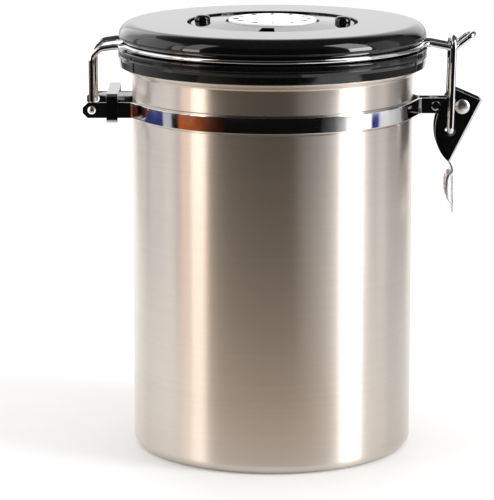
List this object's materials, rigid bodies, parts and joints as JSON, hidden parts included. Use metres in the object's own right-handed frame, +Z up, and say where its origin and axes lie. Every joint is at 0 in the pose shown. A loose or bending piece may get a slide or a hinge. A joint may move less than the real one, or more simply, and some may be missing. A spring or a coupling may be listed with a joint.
{
  "type": "airtight food canister",
  "caption": "Cylindrical steel food canister with a hinged airtight lid, an over-centre wire latch and a date dial on top.",
  "frame": {"origin": "centre of the base, on the plane that the canister rests on", "axes": "+Z up along the vessel's axis, +X towards the latch, -X towards the hinge, -Y towards the side that the picture shows"},
  "size_m": [0.1769, 0.1376, 0.1939],
  "materials": {
    "brushed_steel": "satin, brushed round the vessel",
    "polished_chrome": "polished",
    "gloss_black": "high gloss",
    "matt_black": "fine matt",
    "silicone": "matt, slightly translucent",
    "dial_white": "semi-gloss, printed with plain numbers",
    "screw_steel": "bright zinc plate"
  },
  "bodies": {
    "canister": {"canister_body": "brushed_steel", "band_front": "polished_chrome", "band_back": "polished_chrome", "hinge_clip": "polished_chrome", "band_rivet": "polished_chrome", "band_spacer": "polished_chrome", "pivot_spacer": "polished_chrome", "lever_pivot_rivet": "polished_chrome"},
    "lid": {"lid_shell": "gloss_black", "lid_base": "gloss_black", "lid_gasket": "silicone", "lid_screw_1": "screw_steel", "lid_screw_2": "screw_steel", "lid_screw_3": "screw_steel", "lid_screw_4": "screw_steel", "date_card": "matt_black", "bail_wire": "polished_chrome", "one_way_valve": "silicone", "valve_cover": "matt_black"},
    "date_ring": {"date_ring": "gloss_black", "date_knob_left": "gloss_black", "date_knob_right": "gloss_black"},
    "month_dial": {"month_dial": "dial_white", "dial_washer": "screw_steel", "dial_screw": "screw_steel"},
    "lever": {"latch_lever": "polished_chrome"},
    "loop": {"latch_loop": "polished_chrome"}
  },
  "joints": [
    {"name": "lid_open", "type": "hinge", "parent": "canister", "child": "lid", "pos_m": [-0.0797, 0, 0.154], "axis": [0, -1, 0], "range_deg": [0, 215]},
    {"name": "lever_turn", "type": "hinge", "parent": "canister", "child": "lever", "pos_m": [0.0842, 0, 0.154], "axis": [0, -1, 0], "range_deg": [0, 130]},
    {"name": "loop_swing", "type": "hinge", "parent": "lever", "child": "loop", "pos_m": [0.079, 0, 0.143], "axis": [0, -1, 0], "range_deg": [-94, 0]},
    {"name": "date_ring_turn", "type": "hinge", "parent": "lid", "child": "date_ring", "pos_m": [0, 0, 0.19], "axis": [0, 0, 1], "continuous": true},
    {"name": "month_dial_turn", "type": "hinge", "parent": "lid", "child": "month_dial", "pos_m": [0, 0, 0.19], "axis": [0, 0, 1], "continuous": true}
  ],
  "couplings": [
    {"joint": "loop_swing", "follows": "lever_turn", "ratio": -0.72}
  ]
}
